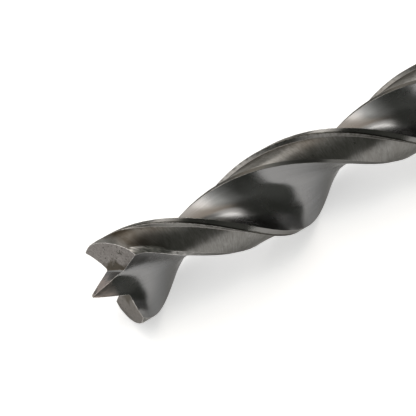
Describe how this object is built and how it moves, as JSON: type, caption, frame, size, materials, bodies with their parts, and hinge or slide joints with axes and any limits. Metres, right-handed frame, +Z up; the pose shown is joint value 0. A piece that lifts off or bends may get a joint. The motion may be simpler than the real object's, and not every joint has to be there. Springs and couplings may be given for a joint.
{
  "type": "brad point drill bit",
  "caption": "Twist drill bit for wood with a centre point, two outer spurs, wide flutes and a plain round shank.",
  "frame": {"origin": "under the middle of the bit's length, on the surface it lies on", "axes": "+X along the bit from the centre point to the end of the shank, +Z up"},
  "size_m": [0.1328, 0.01, 0.01],
  "materials": {
    "tool_steel": "ground and polished tool steel"
  },
  "bodies": {
    "root": {"drill_bit": "tool_steel"}
  },
  "joints": []
}
